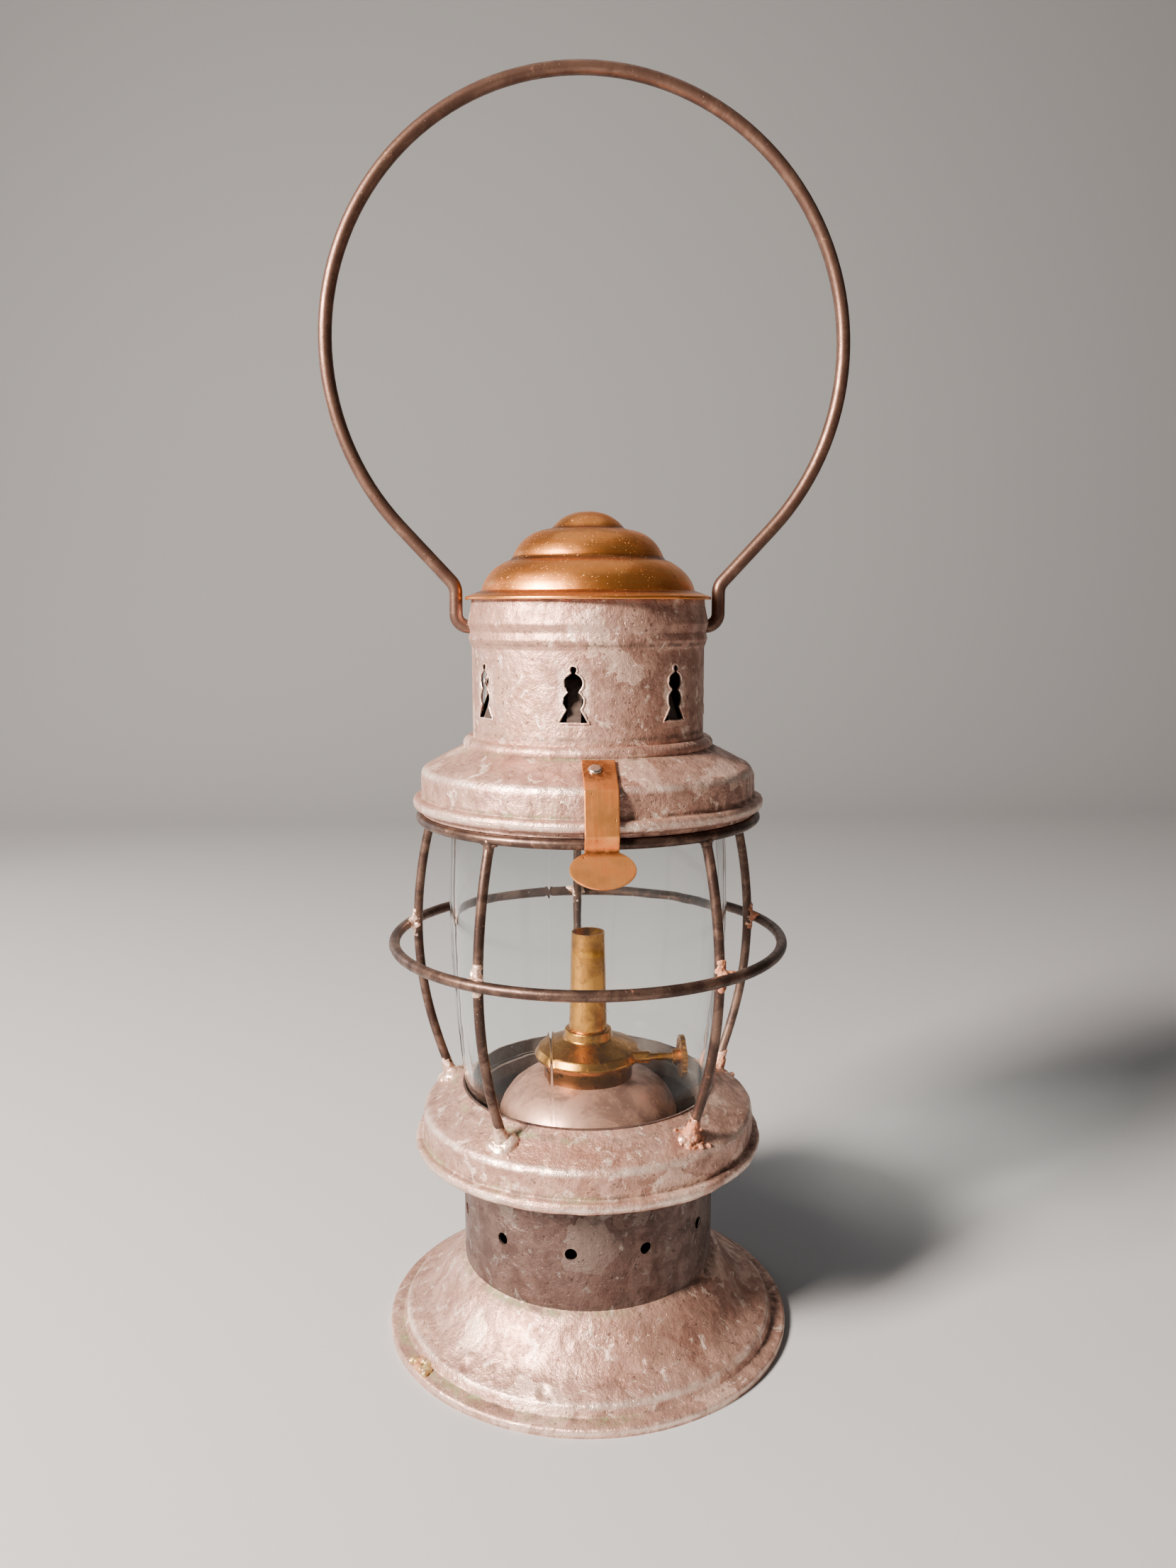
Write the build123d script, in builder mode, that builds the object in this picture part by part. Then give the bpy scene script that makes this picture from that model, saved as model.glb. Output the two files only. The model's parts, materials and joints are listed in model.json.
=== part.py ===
from build123d import *
from math import cos, radians, sin
import os

# Ship lantern. It rests on Z = 0 with its axis on Z. The latch faces -Y, the hood's hinge is at +Y
# and the bail pivots about X. Sizes are millimetres, and outlines are (radius, height) pairs that
# run down the outer surface of a spun sheet.

# Materials
sheet = 0.7
thin_sheet = 0.5
guard_wire = 3.2
mid_ring_wire = 3.6
bail_wire = 4.4
running_gap = 0.05

# Base
rim_radius = 70.0
collar_radius = 43.5
collar_bore = collar_radius - sheet
collar_bottom = 20.0
collar_top = 86.9
air_hole_count = 11
air_hole_radius = 2.0
air_hole_height = 44.5
air_hole_offset = 21.5
drum_roof_top = 86.4
drum_wall = 57.2
drum_shoulder_height = 78.75
drum_lip = 59.8
drum_lip_bottom = 66.2
drum_lip_top = 69.9
drum_floor_height = 70.6
seat_height = 82.0
seat_bore = 38.8

# Guard
guard_angles = (36.0, 108.0, 180.0, 252.0, 324.0)
hoop_radius = 56.0
hoop_height = 180.4
mid_ring_radius = 65.75
mid_ring_height = 137.7
band_top = 187.0
band_bottom = 180.0

# Globe
globe_top = 187.0
globe_wall = 2.4

# Hood
hood_wall = 55.6
hood_shoulder_height = 196.6
hood_bottom = 182.2
hood_lip = 58.4
hood_lip_bottom = 183.7
hood_lip_top = 187.4
hood_neck_height = 205.3
vent_radius = 38.4
vent_bottom = 201.0
vent_top = 252.3
slot_count = 7
slot_offset = -10.6
tongue_lean = 22.0
tongue_length = 12.0
retainer_height = 188.5
hinge_y = 61.0
hinge_height = 182.5
knuckle_radius = 2.2
knuckle_split = 4.0
hinge_half_width = 12.0
hinge_pin_radius = 1.2

# Bail
bail_radius = 83.2
bail_centre_height = 331.5
bail_leg_angle = 43.0
bail_pivot_height = 242.8
bail_neck = 43.4
bail_hook = 33.2

# Latch
latch_width = 10.2
latch_thickness = 0.8
latch_corner = (56.5, 196.18)
latch_bend = (57.2, 196.68)
latch_knee = (59.3, 183.4)
latch_kink = (57.3, 178.6)
tab_centre = (61.85, 173.9)
tab_half_width = 9.75
tab_half_height = 6.6
latch_rivet_radius = 2.15
rivet_shank = 1.2
rivet_place = (-1.25, 47.6)

# Font and burner
font_radius = 31.0
font_bottom = 21.2
font_shoulder = 75.0
font_neck_height = 88.3
font_neck_bore = 14.2
font_neck_top = 93.2
lock_plate_radius = 37.5
lug_radius = 40.5
lug_half_angle = 7.0
notch_half_angle = 10.0
lock_turn = 30.0
lock_play = 0.2
wick_tube_radius = 6.6
wick_tube_top = 139.0
wick_radius = 4.6
wick_bottom = 40.0
wick_top = 134.0
shaft_y = -7.8
shaft_height = 96.5
shaft_radius = 1.25
knob_inner_face = 31.0
knob_thickness = 1.6
knob_radius = 7.3
knob_hub_length = 2.5
bushing_radius = 2.1
bushing_start = 12.0
spur_root_radius = 2.45
spur_width = 1.6
burner_foot = 84.5

roof_slope = (hood_neck_height - hood_shoulder_height) / (hood_wall - vent_radius)


def radial_plane(angle):
    """Plane through the axis: local X points outwards at an angle from the front, local Y is up."""
    outward = Vector(sin(radians(angle)), -cos(radians(angle)), 0)
    return Plane(origin=(0, 0, 0), x_dir=outward, z_dir=outward.cross(Vector(0, 0, 1)))


def wall_plane(angle, radius, height, lean=0):
    """Plane facing outwards at an angle from the front: local X is level, local Y is up or leans in."""
    outward = Vector(sin(radians(angle)), -cos(radians(angle)), 0)
    level = Vector(cos(radians(angle)), sin(radians(angle)), 0)
    facing = outward * cos(radians(lean)) + Vector(0, 0, sin(radians(lean)))
    return Plane(origin=outward * radius + Vector(0, 0, height), x_dir=level, z_dir=facing)


def sheet_section(points, radii, thickness=sheet):
    """Section of a spun sheet below a line whose corners are rounded."""
    with BuildSketch(Plane.XZ) as section:
        with BuildLine():
            FilletPolyline(*points, radius=radii)
            offset(amount=thickness, side=Side.RIGHT)
        make_face()
    return section.sketch


def ring_section(inner, outer, bottom, top):
    """Rectangular section of a ring between two radii and two heights."""
    with BuildSketch(Plane.XZ) as section:
        with Locations(((inner + outer) / 2, (bottom + top) / 2)):
            Rectangle(outer - inner, top - bottom)
    return section.sketch


def wire_section(radius, height, wire):
    """Round section of a wire hoop."""
    with BuildSketch(Plane.XZ) as section:
        with Locations((radius, height)):
            Circle(wire / 2)
    return section.sketch


def sector(radius, centre_angle, half_angle):
    """Wedge of a circle about the axis, used for lugs and notches."""
    reach = radius / cos(radians(half_angle))
    corners = [(0, 0)]
    for angle in (centre_angle - half_angle, centre_angle, centre_angle + half_angle):
        corners.append((reach * sin(radians(angle)), -reach * cos(radians(angle))))
    with BuildSketch() as wedge:
        Polygon(*corners, align=None)
        Circle(radius, mode=Mode.INTERSECT)
    return wedge.sketch


def finish(builder, name):
    """Label a sub-part and write it."""
    builder.part.label = name
    export_step(builder.part, f"parts/{name}.step")


# --- Base -------------------------------------------------------------------------------------------

skirt_outline = [
    (collar_radius, 25.1),
    (46.7, 22.4),
    (55.0, 11.2),
    (63.9, 6.6),
    (65.3, 3.6),
    (rim_radius, 2.6),
    (rim_radius, 0.0),
]
with BuildPart() as base_skirt:
    add(sheet_section(skirt_outline, [1.0, 16.0, 1.6, 0.9, 1.1]))
    revolve(axis=Axis.Z)
    Hole(collar_radius)
finish(base_skirt, "base_skirt")

with BuildPart() as collar_tube:
    add(ring_section(collar_bore, collar_radius, collar_bottom, collar_top))
    revolve(axis=Axis.Z)
    for number in range(air_hole_count):
        hole_angle = air_hole_offset + number * 360 / air_hole_count
        with BuildSketch(wall_plane(hole_angle, collar_radius + sheet, air_hole_height)):
            Circle(air_hole_radius)
        extrude(amount=-3 * sheet, mode=Mode.SUBTRACT)
finish(collar_tube, "collar_tube")

drum_outline = [
    (collar_radius, drum_roof_top),
    (drum_wall, drum_shoulder_height),
    (drum_wall, drum_lip_top),
    (drum_lip, drum_lip_top),
    (drum_lip, drum_lip_bottom),
    (drum_wall + 0.6, drum_lip_bottom),
]
with BuildPart() as lower_drum:
    add(sheet_section(drum_outline, [3.0, 0.6, 1.5, 1.5]))
    revolve(axis=Axis.Z)
    with Locations((0, 0, drum_roof_top + 1)):
        Hole(collar_radius)
finish(lower_drum, "lower_drum")

with BuildPart() as drum_floor:
    add(ring_section(collar_radius, drum_wall - sheet, drum_floor_height, drum_floor_height + sheet))
    revolve(axis=Axis.Z)
finish(drum_floor, "drum_floor")

with BuildPart() as globe_seat_ring:
    add(ring_section(seat_bore, collar_bore, seat_height - 1.0, seat_height))
    add(ring_section(seat_bore, seat_bore + sheet, seat_height - 5.0, seat_height - 1.0))
    revolve(axis=Axis.Z)
finish(globe_seat_ring, "globe_seat_ring")

with BuildPart() as font_lock_ring:
    with BuildSketch(Plane.XY.offset(collar_bottom - 1.0)):
        Circle(collar_radius)
        Circle(lock_plate_radius + 1.0, mode=Mode.SUBTRACT)
        for third in range(3):
            add(sector(lug_radius + 0.7, lock_turn + 120 * third, notch_half_angle), mode=Mode.SUBTRACT)
    extrude(amount=1.0)
finish(font_lock_ring, "font_lock_ring")

# --- Guard and globe --------------------------------------------------------------------------------

with BuildPart() as guard_top_hoop:
    add(wire_section(hoop_radius, hoop_height, guard_wire))
    revolve(axis=Axis.Z)
finish(guard_top_hoop, "guard_top_hoop")

with BuildPart() as guard_top_band:
    band_radius = hoop_radius - guard_wire / 2
    add(ring_section(band_radius - sheet, band_radius, band_bottom, band_top))
    revolve(axis=Axis.Z)
finish(guard_top_band, "guard_top_band")

with BuildPart() as guard_mid_ring:
    add(wire_section(mid_ring_radius, mid_ring_height, mid_ring_wire))
    revolve(axis=Axis.Z)
finish(guard_mid_ring, "guard_mid_ring")

# Each upright wire stands on the drum's roof, bows out to the middle ring and ends under the hoop.
foot_slope = 66.0
for number, wire_angle in enumerate(guard_angles, 1):
    with BuildPart() as upright:
        with BuildLine(radial_plane(wire_angle)):
            foot_tangent = (cos(radians(foot_slope)), sin(radians(foot_slope)))
            foot_bow = TangentArc((49.6, 81.2), (57.3, 102.0), tangent=foot_tangent)
            middle_bow = TangentArc(foot_bow @ 1, (62.1, 144.0), tangent=foot_bow % 1)
            TangentArc(middle_bow @ 1, (55.6, 179.3), tangent=middle_bow % 1)
        with BuildSketch(Plane(origin=foot_bow @ 0, z_dir=foot_bow % 0)):
            Circle(guard_wire / 2)
        sweep()
        with BuildSketch(Plane.XZ):
            Polygon(
                (collar_radius - 4, drum_roof_top + 2.235),
                (drum_wall, drum_shoulder_height),
                (drum_wall, 60.0),
                (collar_radius - 4, 60.0),
                align=None,
            )
        revolve(axis=Axis.Z, mode=Mode.SUBTRACT)
        add(wire_section(hoop_radius, hoop_height, guard_wire))
        revolve(axis=Axis.Z, mode=Mode.SUBTRACT)
    finish(upright, f"guard_wire_{number}")

with BuildPart() as globe:
    with BuildSketch(Plane.XZ):
        with BuildLine():
            upper_barrel = ThreePointArc((45.0, globe_top), (46.75, 166.0), (47.1, 146.0))
            TangentArc(upper_barrel @ 1, (41.9, seat_height), tangent=upper_barrel % 1)
            offset(amount=globe_wall, side=Side.RIGHT)
        make_face()
    revolve(axis=Axis.Z)
finish(globe, "globe")

# --- Hood -------------------------------------------------------------------------------------------

rivet_x, rivet_radius_at = rivet_place
rivet_base_z = hood_neck_height - roof_slope * (rivet_radius_at - vent_radius)
roof_normal = Vector(0, -roof_slope, 1).normalized()
rivet_seat = Plane(
    origin=Vector(rivet_x, -rivet_radius_at, rivet_base_z) + roof_normal * latch_thickness,
    x_dir=(1, 0, 0),
    z_dir=roof_normal,
)

hood_outline = [
    (vent_radius, hood_neck_height),
    (hood_wall, hood_shoulder_height),
    (hood_wall, hood_lip_top),
    (hood_lip, hood_lip_top),
    (hood_lip, hood_lip_bottom),
    (hood_wall + 0.1, hood_lip_bottom),
    (hood_wall + 0.1, hood_bottom),
]
with BuildPart() as hood_drum:
    add(sheet_section(hood_outline, [4.0, 0.6, 1.5, 1.4, 0.6]))
    revolve(axis=Axis.Z)
    with Locations((0, 0, hood_neck_height + 1)):
        Hole(vent_radius)
    with BuildSketch(rivet_seat):
        Circle(rivet_shank)
    extrude(amount=-4 * sheet, mode=Mode.SUBTRACT)
finish(hood_drum, "hood_drum")

with BuildPart() as hood_bead_ring:
    with BuildSketch(Plane.XZ):
        with BuildLine():
            bead_foot = Line((vent_radius, hood_neck_height), (41.4, hood_neck_height - roof_slope * 3.0))
            bead_crown = ThreePointArc(bead_foot @ 1, (41.6, 205.2), (vent_radius, 206.9))
            Line(bead_crown @ 1, bead_foot @ 0)
        make_face()
    revolve(axis=Axis.Z)
finish(hood_bead_ring, "hood_bead_ring")

vent_outline = [
    (vent_radius - 0.1, vent_top),
    (38.5, 249.6),
    (39.7, 244.0),
    (38.9, 241.4),
    (39.4, 239.0),
    (vent_radius, 236.2),
    (vent_radius, vent_bottom),
]
with BuildPart() as vent_cylinder:
    add(sheet_section(vent_outline, [2.0, 1.6, 0.9, 1.2, 1.2]))
    revolve(axis=Axis.Z)
    for number in range(slot_count):
        slot_angle = slot_offset + number * 360 / slot_count
        with BuildSketch(wall_plane(slot_angle, vent_radius + 2, 0)):
            with Locations((0, 230.5)):
                Circle(1.3)
            with Locations((0, 229.2)):
                Rectangle(1.7, 1.6)
            with Locations((0, 226.4)):
                Circle(3.1)
            with Locations((0, 220.9)):
                Circle(3.35)
            Polygon((-4.9, 214.1), (4.9, 214.1), (2.3, 218.6), (-2.3, 218.6), align=None)
        extrude(amount=-6, mode=Mode.SUBTRACT)
        with BuildSketch(wall_plane(slot_angle, vent_radius - sheet, 213.4, lean=tongue_lean)):
            with Locations((0, tongue_length / 2)):
                Rectangle(4.4, tongue_length)
        extrude(amount=thin_sheet)
    with BuildSketch(Plane.YZ):
        with Locations((0, bail_pivot_height)):
            Circle(bail_wire / 2 + running_gap)
    extrude(amount=50, both=True, mode=Mode.SUBTRACT)
finish(vent_cylinder, "vent_cylinder")

with BuildPart() as crown_cap:
    with BuildSketch(Plane.XZ):
        with BuildLine():
            knob_tier = ThreePointArc((0, 279.9), (8.4, 277.9), (11.7, 274.9))
            knob_foot = Line(knob_tier @ 1, (12.6, 274.3))
            middle_tier = ThreePointArc(knob_foot @ 1, (20.7, 271.2), (24.7, 265.4))
            middle_foot = Line(middle_tier @ 1, (25.6, 264.3))
            lower_tier = ThreePointArc(middle_foot @ 1, (32.0, 260.3), (35.1, 254.5))
            brim = Line(lower_tier @ 1, (39.9, 252.7))
            ThreePointArc(brim @ 1, (40.4, 252.3), (40.4, 251.6))
            offset(amount=sheet, side=Side.RIGHT)
        make_face()
    revolve(axis=Axis.Z)
finish(crown_cap, "crown_cap")

with BuildPart() as globe_retainer:
    add(ring_section(36.0, hood_wall - sheet, retainer_height, retainer_height + sheet))
    add(ring_section(46.0, 46.0 + sheet, retainer_height - 3.9, retainer_height))
    revolve(axis=Axis.Z)
finish(globe_retainer, "globe_retainer")

chimney_foot = retainer_height + sheet
with BuildPart() as chimney_cone:
    add(
        sheet_section(
            [(24.0, 224.0), (24.0, 212.0), (37.5, chimney_foot + 1.2), (37.5, chimney_foot)],
            [4.0, 0.8],
            thin_sheet,
        )
    )
    revolve(axis=Axis.Z)
finish(chimney_cone, "chimney_cone")

# The hinge: two fixed knuckles on the hoop, one knuckle on the hood, and a headed pin.
hinge_axis_plane = Plane(origin=(0, hinge_y, hinge_height), x_dir=(0, 1, 0), z_dir=(1, 0, 0))
with BuildPart() as hinge_cage_leaf:
    add(ring_section(hoop_radius + 0.9, hoop_radius + 2.4, hoop_height - 0.9, hoop_height + 1.6))
    revolve(axis=Axis.Z)
    with BuildSketch(Plane.XY.offset(hoop_height - 3)):
        with Locations((0, hoop_radius)):
            Rectangle(2 * hinge_half_width, 12)
    extrude(amount=6, mode=Mode.INTERSECT)
    with BuildSketch(hinge_axis_plane.offset(knuckle_split + 0.1)):
        Circle(knuckle_radius)
        with Locations((-1.7, -1.6)):
            Rectangle(2.6, 1.2)
    extrude(amount=hinge_half_width - knuckle_split - 0.1)
    mirror(about=Plane.YZ)
    add(wire_section(hoop_radius, hoop_height, guard_wire))
    revolve(axis=Axis.Z, mode=Mode.SUBTRACT)
    with BuildSketch(hinge_axis_plane):
        Circle(hinge_pin_radius + 0.02)
    extrude(amount=20, both=True, mode=Mode.SUBTRACT)
finish(hinge_cage_leaf, "hinge_cage_leaf")

with BuildPart() as hinge_pin:
    with BuildSketch(hinge_axis_plane):
        Circle(hinge_pin_radius)
    extrude(amount=hinge_half_width, both=True)
    for end in (-1, 1):
        with BuildSketch(hinge_axis_plane.offset(end * (hinge_half_width + 0.4))):
            Circle(hinge_pin_radius + 0.7)
        extrude(amount=0.4, both=True)
finish(hinge_pin, "hinge_pin")

with BuildPart() as hinge_hood_leaf:
    with BuildSketch(hinge_axis_plane):
        with BuildLine():
            FilletPolyline(
                (-1.3, 0.5),
                (-1.3, 6.6),
                (hood_wall - hinge_y + 0.8, 8.4),
                (hood_wall - hinge_y + 0.8, 13.4),
                radius=[0.9, 0.9],
            )
            offset(amount=0.8, side=Side.LEFT)
        make_face()
        Circle(knuckle_radius)
        Circle(hinge_pin_radius + running_gap, mode=Mode.SUBTRACT)
    extrude(amount=knuckle_split - 0.1, both=True)
finish(hinge_hood_leaf, "hinge_hood_leaf")

# --- Latch ------------------------------------------------------------------------------------------

pad_top = (42.9, hood_neck_height - roof_slope * (42.9 - vent_radius))
pad_rise = Vector(roof_slope, 1).normalized() * latch_thickness
strip_run = (Vector(*latch_knee) - Vector(*latch_corner)).normalized()
flex_centre = Vector(*latch_corner) + Vector(-strip_run.Y, strip_run.X) * (latch_thickness / 2)
with BuildPart() as latch_pad:
    with BuildSketch(radial_plane(0)):
        Polygon(
            pad_top,
            latch_corner,
            latch_bend,
            (pad_top[0] + pad_rise.X, pad_top[1] + pad_rise.Y),
            align=None,
        )
        with Locations((flex_centre.X, flex_centre.Y)):
            Circle(latch_thickness / 2 + running_gap, mode=Mode.SUBTRACT)
    extrude(amount=latch_width / 2, both=True)
    with BuildSketch(rivet_seat):
        Circle(rivet_shank)
    extrude(amount=2 * latch_thickness, both=True, mode=Mode.SUBTRACT)
finish(latch_pad, "latch_pad")

with BuildPart() as latch_rivet:
    with BuildSketch(rivet_seat):
        Circle(rivet_shank)
    extrude(amount=-latch_thickness - 3 * sheet)
    with BuildSketch(rivet_seat):
        Circle(latch_rivet_radius)
    extrude(amount=0.9)
    fillet(latch_rivet.faces().sort_by(Axis.Z)[-1].edges(), 0.75)
finish(latch_rivet, "latch_rivet")

# The strip runs down past the lip, steps in under the hoop and flares out into an oval thumb tab.
# Its upper end is round, and turns against a hollow in the end of the pad.
tab_run = (Vector(*tab_centre) - Vector(*latch_kink)).normalized()
with BuildPart() as latch_spring:
    with BuildSketch(radial_plane(0)):
        with BuildLine():
            FilletPolyline(latch_corner, latch_knee, latch_kink, tab_centre, radius=[1.3, 1.3])
            offset(amount=latch_thickness, side=Side.LEFT)
        make_face()
        with Locations((flex_centre.X, flex_centre.Y)):
            Circle(latch_thickness / 2)
    extrude(amount=latch_width / 2, both=True)
    tab_plane = Plane(
        origin=(0, -tab_centre[0], tab_centre[1]), x_dir=(1, 0, 0), z_dir=(0, tab_run.Y, tab_run.X)
    )
    with BuildSketch(tab_plane):
        Ellipse(tab_half_width, tab_half_height)
    extrude(amount=latch_thickness)
finish(latch_spring, "latch_spring")

# --- Bail -------------------------------------------------------------------------------------------

leg_down = Vector(-sin(radians(bail_leg_angle)), -cos(radians(bail_leg_angle)))
leg_top = Vector(
    bail_radius * cos(radians(bail_leg_angle)),
    bail_centre_height - bail_radius * sin(radians(bail_leg_angle)),
)
neck_top = leg_top + leg_down * ((bail_neck - leg_top.X) / leg_down.X)
with BuildPart() as bail:
    with BuildLine(Plane.XZ):
        leg = FilletPolyline(
            (bail_hook, bail_pivot_height + 6.8),
            (bail_hook, bail_pivot_height),
            (bail_neck, bail_pivot_height),
            (neck_top.X, neck_top.Y),
            (leg_top.X, leg_top.Y),
            radius=[3.2, 4.2, 5.5],
        )
        mirror(leg, about=Plane.YZ)
        CenterArc((0, bail_centre_height), bail_radius, -bail_leg_angle, 180 + 2 * bail_leg_angle)
    with BuildSketch(Plane(origin=leg @ 0, z_dir=leg % 0)):
        Circle(bail_wire / 2)
    sweep()
finish(bail, "bail")

# --- Font -------------------------------------------------------------------------------------------

with BuildPart() as font_bowl:
    add(
        sheet_section(
            [(font_radius, font_shoulder), (font_radius, font_bottom), (0, font_bottom)],
            [3.0],
        )
    )
    revolve(axis=Axis.Z)
finish(font_bowl, "font_bowl")

with BuildPart() as font_dome:
    with BuildSketch(Plane.XZ):
        with BuildLine():
            shelf = Line((font_neck_bore, font_neck_height), (15.9, font_neck_height))
            dome = ThreePointArc(shelf @ 1, (26.4, 83.8), (font_radius, font_shoulder + 1.5))
            Line(dome @ 1, (font_radius, font_shoulder))
            offset(amount=sheet, side=Side.RIGHT)
        make_face()
    revolve(axis=Axis.Z)
finish(font_dome, "font_dome")

with BuildPart() as font_collar:
    add(ring_section(font_neck_bore, font_neck_bore + 1.2, font_neck_height, font_neck_top))
    revolve(axis=Axis.Z)
finish(font_collar, "font_collar")

with BuildPart() as font_base_plate:
    with BuildSketch(Plane.XY.offset(collar_bottom + lock_play)):
        Circle(lock_plate_radius)
        for third in range(3):
            add(sector(lug_radius, 120 * third, lug_half_angle))
    extrude(amount=font_bottom - collar_bottom - lock_play)
finish(font_base_plate, "font_base_plate")

with BuildPart() as font_grip:
    with BuildSketch(Plane.XZ):
        with BuildLine():
            FilletPolyline((-16.0, 20.2), (-13.0, 10.0), (13.0, 10.0), (16.0, 20.2), radius=[3.0, 3.0])
            offset(amount=1.2, side=Side.LEFT)
        make_face()
    extrude(amount=5.0, both=True)
    with BuildSketch(Plane.XY.offset(collar_bottom + lock_play)):
        Rectangle(60, 20)
    extrude(amount=5.0, mode=Mode.SUBTRACT)
finish(font_grip, "font_grip")

# --- Burner -----------------------------------------------------------------------------------------

with BuildPart() as burner_base:
    plug_radius = font_neck_bore - running_gap
    add(ring_section(plug_radius - 0.8, plug_radius, burner_foot, font_neck_top + 0.1))
    add(ring_section(wick_tube_radius, plug_radius - 0.8, font_neck_top - 0.7, font_neck_top + 0.1))
    revolve(axis=Axis.Z)
    with PolarLocations(10.0, 8):
        Hole(1.2)
finish(burner_base, "burner_base")

cone_outline = [
    (wick_tube_radius, 104.9),
    (8.1, 104.7),
    (8.6, 101.6),
    (11.6, 100.3),
    (17.2, 98.3),
    (18.8, 95.6),
    (16.6, font_neck_top + 0.1),
    (13.35, font_neck_top + 0.1),
]
with BuildPart() as burner_cone:
    add(sheet_section(cone_outline, [0.8, 1.0, 4.0, 1.2, 1.0, 0.8]))
    revolve(axis=Axis.Z)
    with Locations((0, 0, wick_tube_top)):
        Hole(wick_tube_radius)
    with BuildSketch(Plane.YZ.offset(bushing_start)):
        with Locations((shaft_y, shaft_height)):
            Circle(bushing_radius)
    extrude(amount=9.0, mode=Mode.SUBTRACT)
finish(burner_cone, "burner_cone")

with BuildPart() as wick_tube:
    with BuildSketch(Plane.XZ):
        with BuildLine():
            Polyline((5.7, wick_tube_top), (wick_tube_radius, 106.0), (wick_tube_radius, burner_foot))
            offset(amount=0.6, side=Side.RIGHT)
        make_face()
    revolve(axis=Axis.Z)
    with BuildSketch(Plane.XZ.offset(wick_radius)):
        with Locations((0, shaft_height)):
            Rectangle(3.4, 7.4)
    extrude(amount=3.0, mode=Mode.SUBTRACT)
finish(wick_tube, "wick_tube")

with BuildPart() as shaft_bushing:
    with BuildSketch(Plane.YZ.offset(bushing_start)):
        with Locations((shaft_y, shaft_height)):
            Circle(bushing_radius)
            Circle(shaft_radius + running_gap, mode=Mode.SUBTRACT)
    extrude(amount=8.4)
finish(shaft_bushing, "shaft_bushing")

with BuildPart() as shaft_bracket:
    with BuildSketch(Plane.YZ.offset(-6.2)):
        with Locations((shaft_y, shaft_height)):
            Circle(2.4)
        with Locations((shaft_y, shaft_height - 1.6)):
            Rectangle(4.8, 3.2)
        with Locations((shaft_y, shaft_height)):
            Circle(shaft_radius + running_gap, mode=Mode.SUBTRACT)
    extrude(amount=1.0)
finish(shaft_bracket, "shaft_bracket")

with BuildPart() as wick_shaft:
    with BuildSketch(Plane.YZ.offset(-6.6)):
        with Locations((shaft_y, shaft_height)):
            Circle(shaft_radius)
    extrude(amount=6.6 + knob_inner_face + knob_thickness + 0.3)
finish(wick_shaft, "wick_shaft")

with BuildPart() as spur_wheel:
    with BuildSketch(Plane.YZ.offset(-spur_width / 2)):
        with Locations((shaft_y, shaft_height)):
            Circle(spur_root_radius)
            with PolarLocations(spur_root_radius + 0.05, 12):
                Rectangle(1.0, 0.6)
            Circle(shaft_radius, mode=Mode.SUBTRACT)
    extrude(amount=spur_width)
finish(spur_wheel, "spur_wheel")

with BuildPart() as wick_knob:
    with BuildSketch(Plane.YZ.offset(knob_inner_face)):
        with Locations((shaft_y, shaft_height)):
            Circle(knob_radius)
            with PolarLocations(knob_radius + 0.5, 18):
                Circle(0.85, mode=Mode.SUBTRACT)
            Circle(shaft_radius, mode=Mode.SUBTRACT)
    extrude(amount=knob_thickness)
    with BuildSketch(Plane.YZ.offset(knob_inner_face - knob_hub_length)):
        with Locations((shaft_y, shaft_height)):
            Circle(2.4)
            Circle(shaft_radius, mode=Mode.SUBTRACT)
    extrude(amount=knob_hub_length)
finish(wick_knob, "wick_knob")

with BuildPart() as wick:
    with BuildSketch(Plane.XY.offset(wick_bottom)):
        Circle(wick_radius)
    extrude(amount=wick_top - wick_bottom)
finish(wick, "wick")
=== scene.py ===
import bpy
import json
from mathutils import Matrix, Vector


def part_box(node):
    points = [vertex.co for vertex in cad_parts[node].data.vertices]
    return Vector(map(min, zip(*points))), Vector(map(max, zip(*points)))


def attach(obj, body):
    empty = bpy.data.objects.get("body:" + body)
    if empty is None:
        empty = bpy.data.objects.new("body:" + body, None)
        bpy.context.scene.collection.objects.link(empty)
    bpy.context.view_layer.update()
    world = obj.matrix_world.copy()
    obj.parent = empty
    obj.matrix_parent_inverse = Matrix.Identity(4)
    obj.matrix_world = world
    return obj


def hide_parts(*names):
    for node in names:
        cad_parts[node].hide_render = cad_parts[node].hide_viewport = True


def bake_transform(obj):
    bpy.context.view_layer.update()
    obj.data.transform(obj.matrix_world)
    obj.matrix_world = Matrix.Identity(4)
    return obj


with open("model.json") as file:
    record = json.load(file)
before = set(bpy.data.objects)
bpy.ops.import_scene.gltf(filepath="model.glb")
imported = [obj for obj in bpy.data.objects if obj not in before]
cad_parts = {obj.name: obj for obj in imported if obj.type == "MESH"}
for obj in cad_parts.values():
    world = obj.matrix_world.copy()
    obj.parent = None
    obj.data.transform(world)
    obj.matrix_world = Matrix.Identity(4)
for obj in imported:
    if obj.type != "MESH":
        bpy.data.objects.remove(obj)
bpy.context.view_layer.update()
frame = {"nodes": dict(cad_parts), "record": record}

import functools
import json
import math

import bmesh
import bpy
from mathutils import Matrix, Vector, noise

# Looks of a ship lantern: galvanised sheet, amber brass, oxidised wire, solder and clear glass.
# Lengths are metres in the part's own frame, with the latch at -Y and the lantern's axis on Z.
# Angles are degrees from the latch, towards +X.

MM = 0.001
NODES = frame["nodes"]
GUARD_ANGLES = (36.0, 108.0, 180.0, 252.0, 324.0)


@functools.cache
def box_of(node):
    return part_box(node)


def top_of(node):
    return box_of(node)[1].z


def bottom_of(node):
    return box_of(node)[0].z


def radius_of(node):
    return box_of(node)[1].x


def outward(angle):
    """Level unit vector away from the axis."""
    return Vector((math.sin(math.radians(angle)), -math.cos(math.radians(angle)), 0))


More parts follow.
